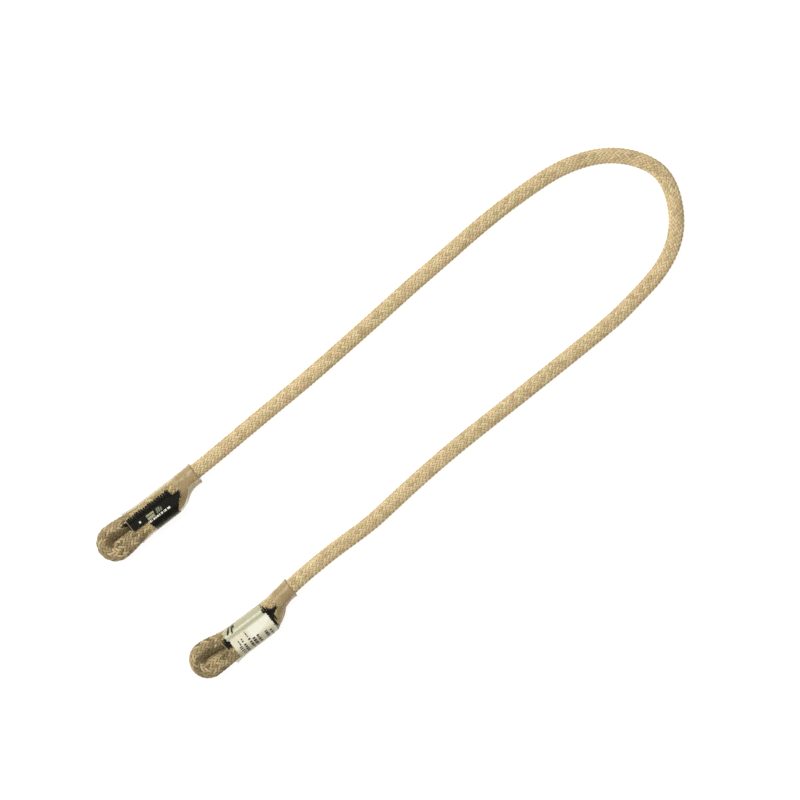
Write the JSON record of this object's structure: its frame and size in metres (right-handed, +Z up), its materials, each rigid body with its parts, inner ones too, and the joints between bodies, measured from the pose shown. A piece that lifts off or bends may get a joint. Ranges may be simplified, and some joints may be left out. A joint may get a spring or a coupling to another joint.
{
  "type": "hitch cord",
  "caption": "Short braided rope with a stitched eye at each end under a clear sleeve, laid in a hairpin; ties a friction hitch on a climbing rope.",
  "frame": {"origin": "middle of the object's footprint, on the surface it lies on", "axes": "+X along the hairpin from the two eyes to the bend, +Y from side B to side A, +Z up"},
  "size_m": [0.3432, 0.0957, 0.0103],
  "materials": {
    "sheath": "round braid of synthetic yarns, mottled tan and straw, matte with a faint sheen along each yarn",
    "core": "undyed parallel yarns, off-white, matte",
    "thread": "bonded black sewing thread, slightly glossy",
    "film": "clear heat-shrunk plastic film, glossy, lightly wrinkled (listed as glass because it is see-through)",
    "label_black": "black printed film under the clear sleeve, with plain pale bars",
    "label_white": "off-white printed film under the clear sleeve, with plain dark bars"
  },
  "bodies": {
    "bend": {"bend_sheath": "sheath", "bend_core": "core"},
    "side_a": {"leg_a_sheath": "sheath", "leg_a_core": "core", "neck_a_sheath": "sheath", "neck_a_core": "core"},
    "side_b": {"leg_b_sheath": "sheath", "leg_b_core": "core", "neck_b_sheath": "sheath", "neck_b_core": "core"},
    "end_a": {"eye_a_sheath": "sheath", "eye_a_core": "core", "bartack_a": "thread", "label_a": "label_black", "sleeve_a": "film"},
    "end_b": {"eye_b_sheath": "sheath", "eye_b_core": "core", "bartack_b": "thread", "label_b": "label_white", "sleeve_b": "film"}
  },
  "joints": [
    {"name": "bend_open_a", "type": "hinge", "parent": "bend", "child": "side_a", "pos_m": [0.157, 0.023, 0.004], "axis": [0, 0, -1], "range_deg": [-4, 60], "deforming": ["bend_sheath", "bend_core"]},
    {"name": "bend_open_b", "type": "hinge", "parent": "bend", "child": "side_b", "pos_m": [0.1558, -0.023, 0.004], "axis": [0, 0, 1], "range_deg": [-4, 60], "deforming": ["bend_sheath", "bend_core"]},
    {"name": "end_a_lift", "type": "hinge", "parent": "side_a", "child": "end_a", "pos_m": [-0.095, 0.0388, 0.0046], "axis": [0, 1, 0], "range_deg": [0, 70], "deforming": ["neck_a_sheath", "neck_a_core"]},
    {"name": "end_b_lift", "type": "hinge", "parent": "side_b", "child": "end_b", "pos_m": [-0.096, -0.0357, 0.0046], "axis": [0, 1, 0], "range_deg": [0, 70], "deforming": ["neck_b_sheath", "neck_b_core"]}
  ],
  "couplings": [
    {"joint": "bend_open_b", "follows": "bend_open_a", "ratio": 1}
  ]
}
